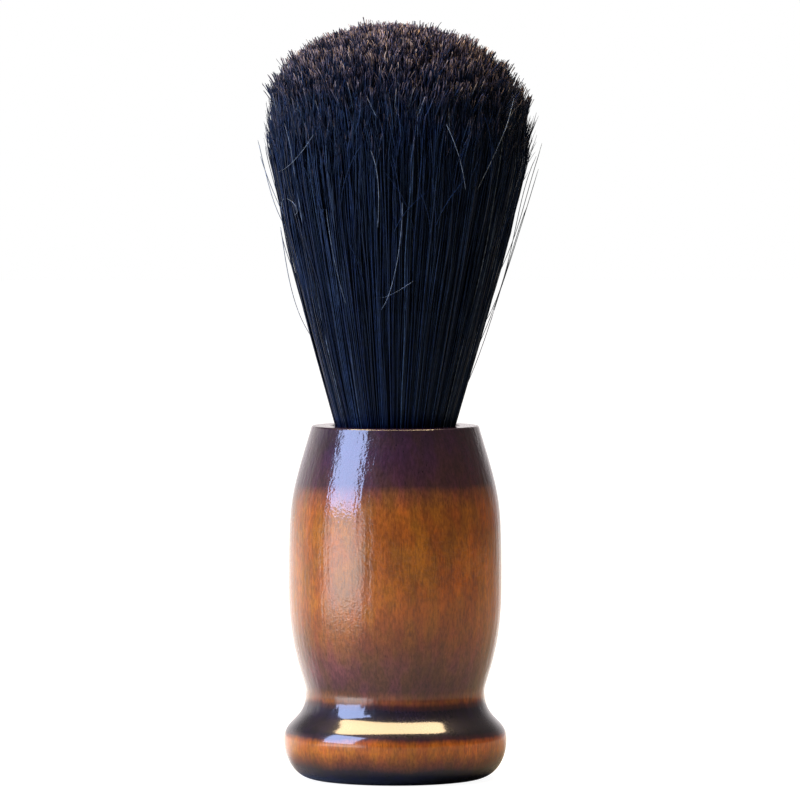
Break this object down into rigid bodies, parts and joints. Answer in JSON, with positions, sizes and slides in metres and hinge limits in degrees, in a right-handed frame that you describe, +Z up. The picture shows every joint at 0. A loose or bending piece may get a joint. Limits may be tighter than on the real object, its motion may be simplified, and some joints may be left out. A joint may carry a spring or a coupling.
{
  "type": "fade brush",
  "caption": "Round fade brush: a bulbous turned wooden handle with a waist and foot bead, holding a domed fan of stiff black hair that flexes.",
  "frame": {"origin": "centre of the flat base of the handle", "axes": "+Z up the handle's turning axis to the tips of the hair; +X to the right and -Y towards the viewer"},
  "size_m": [0.0414, 0.0414, 0.1187],
  "materials": {
    "stained_wood": "gloss",
    "adhesive": "gloss",
    "resin": "matte",
    "thread": "matte",
    "hair": "satin"
  },
  "bodies": {
    "handle": {"handle": "stained_wood", "setting_adhesive": "adhesive", "knot_plug": "resin", "binding_cord": "thread", "hair_root": "hair"},
    "hair_lower": {"hair_lower": "hair"},
    "hair_upper": {"hair_upper": "hair"}
  },
  "joints": [
    {"name": "hair_flex_side", "type": "hinge", "parent": "handle", "child": "hair_lower", "pos_m": [0, 0, 0.063], "axis": [0, 1, 0], "range_deg": [-22, 22], "stiffness_Nm_per_rad": 0.2},
    {"name": "hair_flex_front", "type": "hinge", "parent": "hair_lower", "child": "hair_upper", "pos_m": [0, 0, 0.086], "axis": [1, 0, 0], "range_deg": [-22, 22], "stiffness_Nm_per_rad": 0.12}
  ]
}
